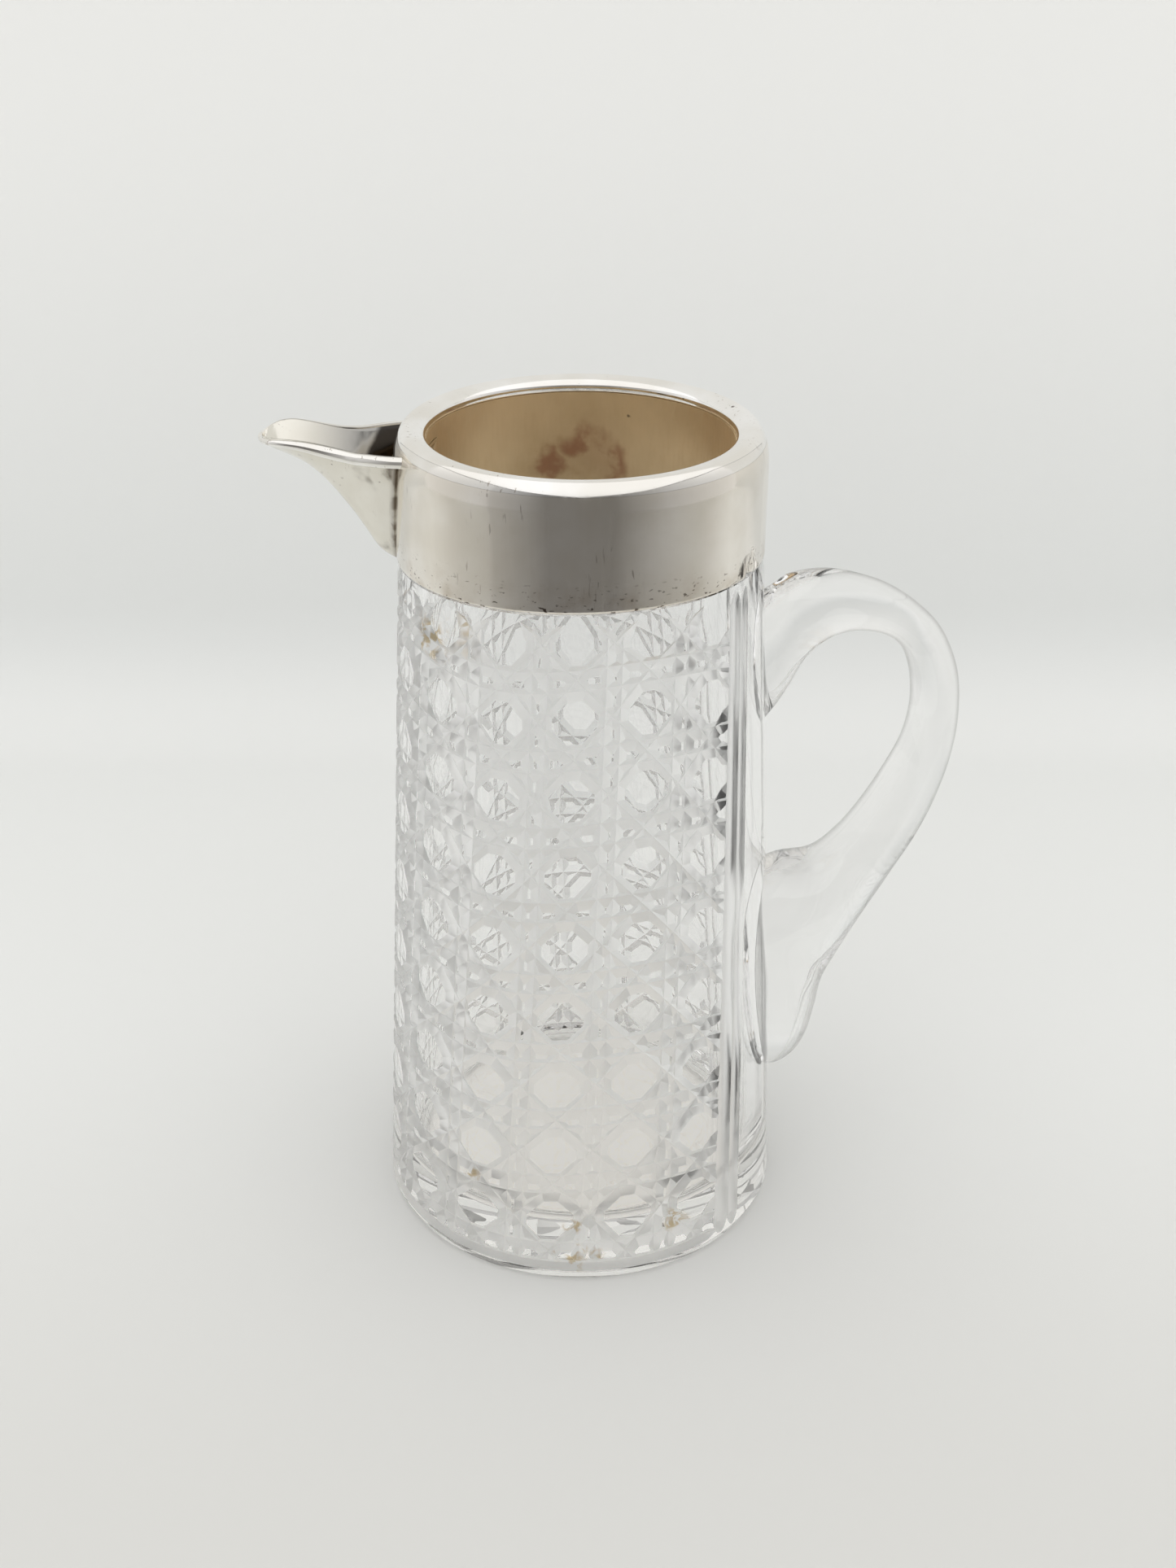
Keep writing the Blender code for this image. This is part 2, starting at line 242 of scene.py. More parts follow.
def mesh_from(name, points, faces):
    """A mesh from points in millimetres, with its faces turned outwards."""
    mesh = bpy.data.meshes.new(name)
    mesh.from_pydata((np.array(points, float) * MM).tolist(), [], [list(face) for face in faces])
    mesh.validate()
    return outward(mesh)


def outward(mesh):
    work = bmesh.new()
    work.from_mesh(mesh)
    bmesh.ops.recalc_face_normals(work, faces=work.faces)
    work.to_mesh(mesh)
    work.free()
    return mesh


def smooth(mesh, sharp_degrees=35.0):
    mesh.shade_smooth()
    mesh.set_sharp_from_angle(angle=radians(sharp_degrees))
    return mesh


def grid_faces(rows, columns, closed_rows, closed_columns):
    """Quads over a grid of points stored row by row."""
    faces = []
    for i in range(rows if closed_rows else rows - 1):
        for j in range(columns if closed_columns else columns - 1):
            a = i * columns + j
            b = i * columns + (j + 1) % columns
            step = ((i + 1) % rows) * columns
            faces.append((a, b, step + (j + 1) % columns, step + j))
    return faces


def around(radius, azimuth, height):
    """The point at a radius, an azimuth in degrees and a height."""
    a = radians(azimuth)
    return (radius * sin(a), -radius * cos(a), height)


def turned(name, profile, segments, finish, shape=None, sharp=35.0):
    """A closed section turned round the axis. shape(radius, azimuth, height) may push a point about."""
    points = []
    for k in range(segments):
        azimuth = 360.0 * k / segments
        for radius, height in profile:
            place = shape(radius, azimuth, height) if shape else (radius, height)
            points.append(around(place[0], azimuth, place[1]))
    mesh = mesh_from(name, points, grid_faces(segments, len(profile), True, True))
    return add_object(name, smooth(mesh, sharp), finish)


def arc(centre, radii, start, end, steps):
    angles = np.radians(np.linspace(start, end, steps + 1))
    return [(centre[0] + radii[0] * cos(a), centre[1] + radii[1] * sin(a)) for a in angles]


def straight(start, end, steps):
    """Points from start to end, both included."""
    return [tuple(p) for p in np.linspace(start, end, steps + 1)]


def smooth_path(stations, places):
    """Rows of a Catmull-Rom curve through the stations, at places from 0 to their count less one."""
    ends = [2 * stations[0] - stations[1], 2 * stations[-1] - stations[-2]]
    knots = np.vstack([ends[0], stations, ends[1]])
    rows = []
    for place in places:
        i = min(int(place), len(stations) - 2)
        t = place - i
        a, b, c, d = knots[i : i + 4]
        slope = c - a
        bend = 2 * a - 5 * b + 4 * c - d
        twist = 3 * (b - c) + d - a
        rows.append(b + 0.5 * (slope * t + bend * t**2 + twist * t**3))
    return np.array(rows)


def ease(value, low, high):
    t = np.clip((value - low) / (high - low), 0.0, 1.0)
    return t * t * (3 - 2 * t)


def cut_away(obj, cutter, solver="MANIFOLD", operation="DIFFERENCE"):
    """Applies a Boolean to obj and removes the cutter."""
    modifier = obj.modifiers.new("Cut", "BOOLEAN")
    modifier.operation = operation
    modifier.solver = solver
    modifier.object = cutter
    bpy.context.view_layer.update()
    graph = bpy.context.evaluated_depsgraph_get()
    result = bpy.data.meshes.new_from_object(obj.evaluated_get(graph))
    old = obj.data
    obj.modifiers.clear()
    obj.data = result
    bpy.data.meshes.remove(old)
    bpy.data.objects.remove(cutter, do_unlink=True)
    return obj


# ---------------------------------------------------------------- materials


def new_material(name):
    made = bpy.data.materials.new(name)
    made.use_nodes = True
    return made, made.node_tree.nodes, made.node_tree.links


def node(nodes, kind, **settings):
    made = nodes.new(kind)
    for key, value in settings.items():
        setattr(made, key, value)
    return made


def noise(nodes, links, scale, detail=4.0, stretch=(1.0, 1.0, 1.0), distortion=0.0):
    """Noise in the object's own coordinates. Returns its Fac socket."""
    place = node(nodes, "ShaderNodeTexCoord")
    mapping = node(nodes, "ShaderNodeMapping")
    mapping.inputs["Scale"].default_value = stretch
    texture = node(nodes, "ShaderNodeTexNoise")
    texture.inputs["Scale"].default_value = scale
    texture.inputs["Detail"].default_value = detail
    texture.inputs["Distortion"].default_value = distortion
    links.new(place.outputs["Object"], mapping.inputs["Vector"])
    links.new(mapping.outputs["Vector"], texture.inputs["Vector"])
    return texture.outputs["Fac"]


def remap(nodes, links, value, low, high, to_low=0.0, to_high=1.0):
    made = node(nodes, "ShaderNodeMapRange", interpolation_type="SMOOTHSTEP")
    links.new(value, made.inputs["Value"])
    made.inputs["From Min"].default_value = low
    made.inputs["From Max"].default_value = high
    made.inputs["To Min"].default_value = to_low
    made.inputs["To Max"].default_value = to_high
    return made.outputs["Result"]


def feed(links, socket, value):
    """Gives an input a number, a colour or the output of another node."""
    if isinstance(value, (int, float)):
        socket.default_value = value
    elif isinstance(value, tuple):
        socket.default_value = (*value, 1.0)
    else:
        links.new(value, socket)


def calc(nodes, links, operation, *values):
    """One step of arithmetic on numbers and sockets."""
    made = node(nodes, "ShaderNodeMath", operation=operation)
    for socket, value in zip(made.inputs, values):
        feed(links, socket, value)
    return made.outputs["Value"]


def blend_colours(nodes, links, factor, first, second, mode="MIX"):
    """Mix of two colours, each a tuple or a socket."""
    made = node(nodes, "ShaderNodeMix", data_type="RGBA", blend_type=mode)
    feed(links, made.inputs["Factor"], factor)
    colours = [socket for socket in made.inputs if socket.type == "RGBA"]
    for socket, value in zip(colours, (first, second)):
        feed(links, socket, value)
    return next(socket for socket in made.outputs if socket.type == "RGBA")


def object_axes(nodes, links):
    """X, Y and Z of a place in the object's own coordinates."""
    place = node(nodes, "ShaderNodeTexCoord")
    split = node(nodes, "ShaderNodeSeparateXYZ")
    links.new(place.outputs["Object"], split.inputs["Vector"])
    return split.outputs["X"], split.outputs["Y"], split.outputs["Z"]


def height_mask(nodes, links, low, high):
    """1 below the height low, 0 above the height high, in millimetres."""
    height = object_axes(nodes, links)[2]
    return remap(nodes, links, height, low * MM, high * MM, 1.0, 0.0)


def bump(nodes, links, height, distance, strength=1.0):
    made = node(nodes, "ShaderNodeBump")
    made.inputs["Distance"].default_value = distance
    made.inputs["Strength"].default_value = strength
    links.new(height, made.inputs["Height"])
    return made.outputs["Normal"]


def near_spot(nodes, links, centre, radius):
    """1 at a place in millimetres, 0 beyond about the radius from it, with a ragged edge."""
    place = node(nodes, "ShaderNodeTexCoord")
    ragged = node(nodes, "ShaderNodeTexNoise")
    ragged.inputs["Scale"].default_value = 1.1 / (radius * MM)
    ragged.inputs["Detail"].default_value = 3.0
    links.new(place.outputs["Object"], ragged.inputs["Vector"])
    shift = node(nodes, "ShaderNodeVectorMath", operation="MULTIPLY_ADD")
    links.new(ragged.outputs["Color"], shift.inputs[0])
    shift.inputs[1].default_value = [1.6 * radius * MM] * 3
    links.new(place.outputs["Object"], shift.inputs[2])
    reach = node(nodes, "ShaderNodeVectorMath", operation="DISTANCE")
    links.new(shift.outputs["Vector"], reach.inputs[0])
    reach.inputs[1].default_value = [(c + 0.8 * radius) * MM for c in centre]
    return remap(nodes, links, reach.outputs["Value"], 0.35 * radius * MM, radius * MM, 1.0, 0.0)


def spots_mask(nodes, links, spots, texture):
    """Blotches of a noise texture inside round areas."""
    total = None
    for centre, radius in spots:
        spot = calc(nodes, links, "MULTIPLY", near_spot(nodes, links, centre, radius), texture)
        total = spot if total is None else calc(nodes, links, "MAXIMUM", total, spot)
    return total


def crystal_material(name, spots, stain, frosted, edge=None):
    """Lead crystal. The wheel-cut facets are a little softer than the skin between them.

    An edge tone, a painted shade, deepens the glass where it is seen at a grazing angle.
    """
    made, nodes, links = new_material(name)
    shader = nodes["Principled BSDF"]
    shader.inputs["Transmission Weight"].default_value = 1.0
    shader.inputs["IOR"].default_value = 1.52
    clouds = remap(nodes, links, noise(nodes, links, 22.0, 2.0), 0.35, 0.7)
    colour = blend_colours(nodes, links, clouds, (1.0, 1.0, 0.999), (0.996, 0.994, 0.992))
    texture = remap(nodes, links, noise(nodes, links, 260.0, 5.0, distortion=0.8), 0.46, 0.58)
    colour = blend_colours(nodes, links, spots_mask(nodes, links, spots, texture), colour, stain)
    foot = height_mask(nodes, links, 6.0, 48.0)
    warm = blend_colours(nodes, links, foot, (1.0, 1.0, 1.0), (0.996, 0.987, 0.97))
    tinted = blend_colours(nodes, links, 1.0, colour, warm, "MULTIPLY")
    if edge:
        # Painted shade: a darker tint at grazing angles draws the glass's outline
        grazing = node(nodes, "ShaderNodeLayerWeight")
        grazing.inputs["Blend"].default_value = 0.5
        outline = remap(nodes, links, grazing.outputs["Facing"], 0.5, 0.88)
        tinted = blend_colours(nodes, links, outline, tinted, edge)
    links.new(tinted, shader.inputs["Base Color"])
    wear = remap(nodes, links, noise(nodes, links, 300.0, 4.0), 0.62, 0.8, 0.0, 0.06)
    if frosted:
        facets = node(nodes, "ShaderNodeAttribute", attribute_name="cut")
        soft = calc(nodes, links, "MULTIPLY", facets.outputs["Fac"], frosted)
        wear = calc(nodes, links, "MAXIMUM", wear, soft)
    links.new(wear, shader.inputs["Roughness"])
    return made


def silver_material(name, tone, dull, soiled_below=None):
    """Old polished silver: soft blotches of tarnish, groups of scratches and small dark pits."""
    made, nodes, links = new_material(name)
    shader = nodes["Principled BSDF"]
    shader.inputs["Metallic"].default_value = 1.0
    clouds = remap(nodes, links, noise(nodes, links, 38.0, 5.0), 0.32, 0.68)
    darker = tuple(c * f for c, f in zip(tone, (0.88, 0.86, 0.82)))
    colour = blend_colours(nodes, links, clouds, tone, darker)
    strokes = noise(nodes, links, 850.0, 2.0, stretch=(1.0, 1.0, 0.16), distortion=0.3)
    strokes = remap(nodes, links, strokes, 0.64, 0.70)
    grouped = remap(nodes, links, noise(nodes, links, 42.0, 2.0, stretch=(1.3, 1.0, 1.0)), 0.5, 0.62)
    strokes = calc(nodes, links, "MULTIPLY", strokes, grouped)
    colour = blend_colours(nodes, links, strokes, colour, (0.56, 0.52, 0.47))
    pits = remap(nodes, links, noise(nodes, links, 420.0, 2.0, stretch=(1, 1, 1.6)), 0.72, 0.78)
    patch = remap(nodes, links, noise(nodes, links, 60.0, 2.0), 0.45, 0.6)
    pits = calc(nodes, links, "MULTIPLY", pits, patch)
    if soiled_below:
        edge = height_mask(nodes, links, soiled_below, soiled_below + 11.0)
        fine = noise(nodes, links, 900.0, 2.0, stretch=(0.6, 0.6, 1.3))
        pits = calc(nodes, links, "MAXIMUM", pits, remap(nodes, links, fine, 0.63, 0.7))
        pits = calc(nodes, links, "MULTIPLY", pits, edge)
        dirt = remap(nodes, links, noise(nodes, links, 120.0, 5.0), 0.4, 0.8)
        grime = calc(nodes, links, "MULTIPLY", edge, dirt)
        colour = blend_colours(nodes, links, grime, colour, (0.55, 0.47, 0.38))
    colour = blend_colours(nodes, links, pits, colour, (0.12, 0.09, 0.07))
    links.new(colour, shader.inputs["Base Color"])
    hairs = noise(nodes, links, 600.0, 3.0, stretch=(1.0, 1.0, 0.06))
    worn = calc(nodes, links, "MULTIPLY_ADD", remap(nodes, links, hairs, 0.4, 0.75), 0.07, dull)
    links.new(calc(nodes, links, "MULTIPLY_ADD", clouds, 0.05, worn), shader.inputs["Roughness"])
    links.new(bump(nodes, links, hairs, 0.00001, 0.25), shader.inputs["Normal"])
    return made


def axis_distance(nodes, links):
    """Distance from the jug's axis, in metres."""
    place = node(nodes, "ShaderNodeTexCoord")
    flat = node(nodes, "ShaderNodeVectorMath", operation="MULTIPLY")
    links.new(place.outputs["Object"], flat.inputs[0])
    flat.inputs[1].default_value = (1.0, 1.0, 0.0)
    length = node(nodes, "ShaderNodeVectorMath", operation="LENGTH")
    links.new(flat.outputs["Vector"], length.inputs[0])
    return length.outputs["Value"]


def spout_material(name, tone, dull):
    """Silver, turning grey and then black inside towards the collar, with grime in the corners outside."""
    made = silver_material(name, tone, dull)
    nodes, links = made.node_tree.nodes, made.node_tree.links
    shader = nodes["Principled BSDF"]
    colour = shader.inputs["Base Color"].links[0].from_socket
    x, y, z = object_axes(nodes, links)
    facing = node(nodes, "ShaderNodeNewGeometry")
    turn = node(nodes, "ShaderNodeSeparateXYZ")
    links.new(facing.outputs["Normal"], turn.inputs["Vector"])
    inwards = calc(nodes, links, "MULTIPLY", y, turn.outputs["Y"])
    inside = remap(nodes, links, inwards, -0.0004, 0.0002, 1.0, 0.0)
    leant = calc(nodes, links, "MULTIPLY_ADD", z, BLACK_LEAN, x)
    wavy = calc(nodes, links, "MULTIPLY_ADD", noise(nodes, links, 90.0, 3.0), 0.004, leant)
    black = calc(nodes, links, "MULTIPLY", inside, remap(nodes, links, wavy, *BLACK_EDGE))
    grey = calc(nodes, links, "MULTIPLY", inside, remap(nodes, links, x, *GREY_EDGE))
    colour = blend_colours(nodes, links, grey, colour, (0.36, 0.35, 0.33))
    near_collar = remap(nodes, links, axis_distance(nodes, links), 0.0536, 0.0556, 1.0, 0.0)
    under_lip = near_spot(nodes, links, (-58.0, -17.0, 248.5), 10.0)
    keel_end = near_spot(nodes, links, (-56.0, 0.0, 216.0), 9.0)
    streaks = remap(nodes, links, noise(nodes, links, 150.0, 6.0, stretch=(1.0, 1.0, 0.7)), 0.42, 0.66)
    grime = calc(nodes, links, "MAXIMUM", under_lip, keel_end)
    grime = calc(nodes, links, "MULTIPLY", grime, streaks)
    corner = calc(nodes, links, "MULTIPLY", near_collar, remap(nodes, links, streaks, 0.0, 0.5, 0.5, 1.0))
    grime = calc(nodes, links, "MAXIMUM", grime, corner)
    colour = blend_colours(nodes, links, grime, colour, (0.17, 0.14, 0.11))
    colour = blend_colours(nodes, links, black, colour, (0.045, 0.04, 0.036))
    links.new(colour, shader.inputs["Base Color"])
    return made


def tarnished_material(name):
    """The dull, gold-brown inside of the neck, with darker blotches low down."""
    made, nodes, links = new_material(name)
    shader = nodes["Principled BSDF"]
    shader.inputs["Metallic"].default_value = 0.75
    clouds = remap(nodes, links, noise(nodes, links, 30.0, 6.0), 0.3, 0.7)
    colour = blend_colours(nodes, links, clouds, (0.74, 0.565, 0.34), (0.60, 0.445, 0.25))
    spots = remap(nodes, links, noise(nodes, links, 110.0, 6.0), 0.38, 0.56, 0.25, 1.0)
    blotches = (((2.0, 43.5, 236.0), 10.0), ((9.0, 42.5, 232.0), 10.0), ((-10.0, 42.5, 231.0), 7.0))
    stained = spots_mask(nodes, links, blotches, spots)
    colour = blend_colours(nodes, links, stained, colour, (0.40, 0.215, 0.12))
    pit = spots_mask(nodes, links, (((14.5, 41.5, 247.0), 0.7),), spots)
    colour = blend_colours(nodes, links, pit, colour, (0.05, 0.03, 0.02))
    links.new(colour, shader.inputs["Base Color"])
    grain = noise(nodes, links, 900.0, 3.0, stretch=(1.0, 1.0, 0.2))
    links.new(remap(nodes, links, grain, 0.3, 0.8, 0.36, 0.55), shader.inputs["Roughness"])
    links.new(bump(nodes, links, grain, 0.00002, 0.4), shader.inputs["Normal"])
    return made


def plaster_material(name):
    made, nodes, links = new_material(name)
    shader = nodes["Principled BSDF"]
    clouds = noise(nodes, links, 200.0, 6.0)
    colour = blend_colours(nodes, links, clouds, (0.8, 0.76, 0.68), (0.6, 0.55, 0.47))
    links.new(colour, shader.inputs["Base Color"])
    shader.inputs["Roughness"].default_value = 0.9
    links.new(bump(nodes, links, clouds, 0.0003, 0.5), shader.inputs["Normal"])
    return made


# ---------------------------------------------------------------- glass body


def flat_place(azimuth, height):
    """Place on the unrolled wall, in pattern units, of an azimuth at the lean's own height."""
    return np.array([azimuth * UNITS_PER_DEGREE, height])


def cutter_mesh(name, sections):
    """Closed lofts on the unrolled wall. A section list holds rows of points of equal count."""
    points, faces = [], []
    for rows in sections:
        base = len(points)
        count = len(rows[0])
        points += [p for row in rows for p in row]
        faces += [tuple(base + i for i in face) for face in grid_faces(len(rows), count, False, True)]
        faces.append(tuple(base + j for j in range(count)))
        faces.append(tuple(base + (len(rows) - 1) * count + j for j in range(count)))
    mesh = mesh_from(name, points, faces)
    return add_object(name, mesh)


def cut_rows(start, end, profile, depth, run_out):
    """Rows of a cut from start to end. It rises out of the glass over run_out at each end."""
    along = end - start
    length = np.linalg.norm(along)
    along = along / length
    across = np.array([-along[1], along[0]])
    lift = depth + 0.05
    rows = []
    for place, rise in ((0.0, lift), (run_out, 0.0), (length - run_out, 0.0), (length, lift)):
        centre = start + along * place
        rows.append([(*(centre + across * n), h + rise) for n, h in profile])
    return rows


def mitre_profile(depth):
    """V section: its slope is the same at any depth."""
    slope = CUT_DEPTH / CUT_HALF
    top = 1.0
    half = (top + depth) / slope
    return [(-half, top), (0.0, -depth), (half, top)]


def mitre(start, end):
    """One wheel cut, a little off in place and depth as hand work is."""
    depth = CUT_DEPTH * random.uniform(0.93, 1.08)
    start = start + random.normal(0.0, 0.14, 2)
    end = end + random.normal(0.0, 0.14, 2)
    return cut_rows(start, end, mitre_profile(depth), depth, RUN_OUT)


def flute(left, right):
    """A hollow channel up the wall between two azimuths."""
    middle = (left + right) / 2
    half = (right - left) / 2 * UNITS_PER_DEGREE
    radius = (half**2 + FLUTE_DEPTH**2) / (2 * FLUTE_DEPTH)
    spread = np.degrees(np.arcsin(half / radius))
    hollow = arc((0.0, radius - FLUTE_DEPTH), (radius, radius), -90 - spread, -90 + spread, 8)
    brim = half + 1.0 / tan(radians(90 - spread))
    profile = [(-brim, 1.0), *hollow, (brim, 1.0)]
    low, high = flat_place(middle, CUT_BOTTOM - 1.0), flat_place(middle, CUT_TOP + 0.6)
    return cut_rows(low, high, profile, FLUTE_DEPTH, 4.0)


def mirrored(azimuth):
    return 2 * MIRROR_AZIMUTH - azimuth


def diagonals(sign, left, right):
    """Cuts at 45 degrees through the middles between neighbouring octagons."""
    centre = flat_place(FIRST_COLUMN, FIRST_ROW)
    made = []
    reach = int((right - left + CUT_TOP) / PITCH) + 2
    for n in range(-reach, reach):
        offset = PITCH * (n + 0.5)
        at_left = centre[1] + offset - sign * (left - centre[0])
        at_right = centre[1] + offset - sign * (right - centre[0])
        low = max(min(at_left, at_right), CUT_BOTTOM)
        high = min(max(at_left, at_right), CUT_TOP)
        if high - low < 2 * RUN_OUT:
            continue
        ends = [np.array([centre[0] + sign * (offset - (v - centre[1])), v]) for v in (low, high)]
        made.append(mitre(*ends))
    return made


def pattern_cutters():
    """Groups of cuts. No two cuts in a group meet."""
    right = PATTERN_EDGE * UNITS_PER_DEGREE
    left = (mirrored(PATTERN_EDGE) - 360.0) * UNITS_PER_DEGREE
    over = 2.6
    groups = []
    for side in (-1, 1):
        cuts = []
        for k in range(1, COLUMNS):
            border = (FIRST_COLUMN + COLUMN_DEGREES / 2 - COLUMN_DEGREES * k) * UNITS_PER_DEGREE
            u = border + side * UPRIGHT_SPREAD * PITCH
            cuts.append(mitre(np.array([u, CUT_BOTTOM]), np.array([u, CUT_TOP])))
        groups.append(cuts)
    for side in (-1, 1):
        cuts = []
        for k in range(-1, ROWS):
            v = FIRST_ROW + PITCH * (k + 0.5) + side * LEVEL_SPREAD * PITCH
            if FOOT_TOP + CUT_HALF < v < CUT_TOP - CUT_HALF:
                cuts.append(mitre(np.array([left - over, v]), np.array([right + over, v])))
        groups.append(cuts)
    groups += [diagonals(sign, left - over, right + over) for sign in (-1, 1)]
    for low, high in FLUTES:
        groups.append([flute(low, high), flute(mirrored(high) - 360.0, mirrored(low) - 360.0)])
    return groups


def unrolled_wall():
    """The outside of the wall laid flat, with every cut in it. Units: pattern units, heights, depths."""
    left = (MIRROR_AZIMUTH - 360.0) * UNITS_PER_DEGREE
    right = MIRROR_AZIMUTH * UNITS_PER_DEGREE
    back = -5.0
    corners = [(left, FOOT_TOP), (right, FOOT_TOP), (right, SHOULDER_HEIGHT), (left, SHOULDER_HEIGHT)]
    rows = [[(u, v, h) for u, v in corners] for h in (back, 0.0)]
    slab = cutter_mesh("slab", [rows])
    for group in pattern_cutters():
        cut_away(slab, cutter_mesh("cuts", group))
    work = bmesh.new()
    work.from_mesh(slab.data)
    bpy.data.objects.remove(slab, do_unlink=True)
    for vert in work.verts:
        vert.co /= MM
    hidden = [face for face in work.faces if face.normal.z < 0.3]
    bmesh.ops.delete(work, geom=hidden, context="FACES")
    bmesh.ops.dissolve_limit(
        work, angle_limit=radians(0.3), verts=work.verts, edges=work.edges, delimit=set()
    )
    cut = work.faces.layers.float.new("cut")
    for face in work.faces:
        face[cut] = 1.0 if face.normal.z < 0.9995 else 0.0
    step = STRIP_DEGREES * UNITS_PER_DEGREE
    for u in np.arange(left + step, right - step / 2, step):
        slice_at(work, (u, 0, 0), (1, 0, 0))
    for v in np.arange(FOOT_TOP + 9.0, SHOULDER_HEIGHT - 4.0, 9.0):
        slice_at(work, (0, v, 0), (0, 1, 0))
    return work


def slice_at(work, place, normal):
    everything = work.verts[:] + work.edges[:] + work.faces[:]
    bmesh.ops.bisect_plane(work, geom=everything, dist=0.0004, plane_co=place, plane_no=normal)


def row_wander(azimuth, height):
    """How far the rows of the pattern stray from level round the jug."""
    stray = 2.0 + 1.9 * sin(radians(3.75 * (azimuth + 6.0)))
    return stray * ease(height, FOOT_TOP, 26.0) * (1 - ease(height, 198.0, SHOULDER_HEIGHT - 4.0))


def collar_slant(azimuth):
    """The collar's lower edge isn't quite level."""
    a = radians(azimuth)
    return 1.0 * sin(a) - 0.35 * (1 - cos(a))


def wrap(work):
    """Rolls the flat wall round the tapering body."""
    for vert in work.verts:
        u, height, depth = vert.co
        azimuth = u / UNITS_PER_DEGREE
        height += row_wander(azimuth, height)
        turn = azimuth + LEAN_DEGREES * (height - LEAN_HEIGHT)
        height += collar_slant(turn) * ease(height, SHOULDER_HEIGHT - 12.0, SHOULDER_HEIGHT)
        radius = FOOT_RADIUS - TAPER * (height - FOOT_TOP) + depth
        vert.co = around(radius, turn, height)
    bmesh.ops.remove_doubles(work, verts=work.verts, dist=0.001)


def boundary_loops(work):
    """The open edge loops of the wall, as (lower, upper), each in order round the axis."""
    open_verts = {v for e in work.edges if e.is_boundary for v in e.verts}
    middle = SHOULDER_HEIGHT / 2
    loops = []
    for chosen in ([v for v in open_verts if v.co.z < middle], [v for v in open_verts if v.co.z > middle]):
        loops.append(sorted(chosen, key=lambda v: atan2(v.co.x, -v.co.y)))
    return loops


def skin_inwards(work, loop, profile):
    """Adds ring after ring, from the loop along the profile of (radius, height, slant share)."""
    for radius, height, share in profile:
        ring = []
        for vert in loop:
            azimuth = np.degrees(atan2(vert.co.x, -vert.co.y))
            ring.append(work.verts.new(around(radius, azimuth, height + share * collar_slant(azimuth))))
        count = len(loop)
        for i in range(count):
            j = (i + 1) % count
            work.faces.new((loop[i], loop[j], ring[j], ring[i]))
        loop = ring
    return loop


def close_with_point(work, loop, height):
    centre = work.verts.new((0.0, 0.0, height))
    for i in range(len(loop)):
        work.faces.new((loop[i], loop[(i + 1) % len(loop)], centre))


def make_glass_body(finish):
    work = unrolled_wall()
    wrap(work)
    lower, upper = boundary_loops(work)
    lip = (NECK_RADIUS - NECK_BORE) / 2
    cavity_top = SHOULDER_HEIGHT - CAVITY_TAPER
    corner_height = FLOOR_THICKNESS + FLOOR_CORNER
    bore_low = FOOT_RADIUS - TAPER * (corner_height - FOOT_TOP) - WALL
    profile = [(NECK_RADIUS + 0.4, SHOULDER_HEIGHT, 1.0), (NECK_RADIUS, SHOULDER_HEIGHT + 0.4, 1.0)]
    profile += [(r, z, 0.0) for r, z in arc((NECK_BORE + lip, GLASS_TOP - lip), (lip, lip), 0, 180, 16)]
    steps = [(NECK_BORE, cavity_top + 6.0), (NECK_BORE, cavity_top)]
    profile += [(r, z, 0.0) for r, z in steps]
    walls = straight((NECK_BORE, cavity_top), (bore_low, corner_height), 18)
    profile += [(r, z, 0.0) for r, z in walls[1:]]
    corner = arc((bore_low - FLOOR_CORNER, corner_height), (FLOOR_CORNER, FLOOR_CORNER), 0, -90, 12)
    profile += [(r, z, 0.0) for r, z in corner[1:]]
    profile += [(r, FLOOR_THICKNESS, 0.0) for r in (34.0, 18.0, 6.0)]
    inside = skin_inwards(work, upper, profile)
    close_with_point(work, inside, FLOOR_THICKNESS)
    underside = (FOOT_RADIUS + 0.1 - FOOT_BEVEL, FOOT_RADIUS - 8.0, 20.0)
    foot = skin_inwards(work, lower, [(r, 0.0, 0.0) for r in underside])
    close_with_point(work, foot, 0.0)
    bmesh.ops.recalc_face_normals(work, faces=work.faces)
    for vert in work.verts:
        vert.co *= MM
    mesh = bpy.data.meshes.new("cut_glass_body")
    work.to_mesh(mesh)
    work.free()
    return add_object("cut_glass_body", smooth(mesh, 12.0), finish)


# ---------------------------------------------------------------- handle


def make_handle(finish):
    places = np.linspace(0, len(HANDLE_STATIONS) - 1, HANDLE_RINGS)
    points = []
    for row in smooth_path(HANDLE_STATIONS, places):
        outer, inner, half, side = row[0:2], row[2:4], row[4], row[5]
        for angle in np.arange(HANDLE_SIDES) * 2 * pi / HANDLE_SIDES:
            x, z = inner + (outer - inner) * (1 + cos(angle)) / 2
            points.append((x, side + half * sin(angle), z))
    faces = grid_faces(HANDLE_RINGS, HANDLE_SIDES, False, True)
    faces.append(tuple(range(HANDLE_SIDES)))
    faces.append(tuple((HANDLE_RINGS - 1) * HANDLE_SIDES + j for j in range(HANDLE_SIDES)))
    handle = add_object("glass_handle", mesh_from("glass_handle", points, faces), finish)
    wall = [(FOOT_RADIUS + TAPER * FOOT_TOP - SEAT_OVERLAP, 0.0)]
    wall.append((SHOULDER_RADIUS - SEAT_OVERLAP, SHOULDER_HEIGHT))
    segments = 256
    rings = [[around(r, 360.0 * k / segments, z) for k in range(segments)] for r, z in wall]
    cut_away(handle, cutter_mesh("seat", [rings]))
    smooth(handle.data, 30.0)
    return handle


# ---------------------------------------------------------------- silver mount


def uneven(azimuth, height, amount):
    """Slow waves of hand-raised sheet."""
    a = radians(azimuth)
    wave = sin(3 * a + height / 9.0) + 0.7 * sin(5 * a - height / 13.0 + 1.3) + 0.4 * sin(11 * a + 0.5)
    return amount * wave


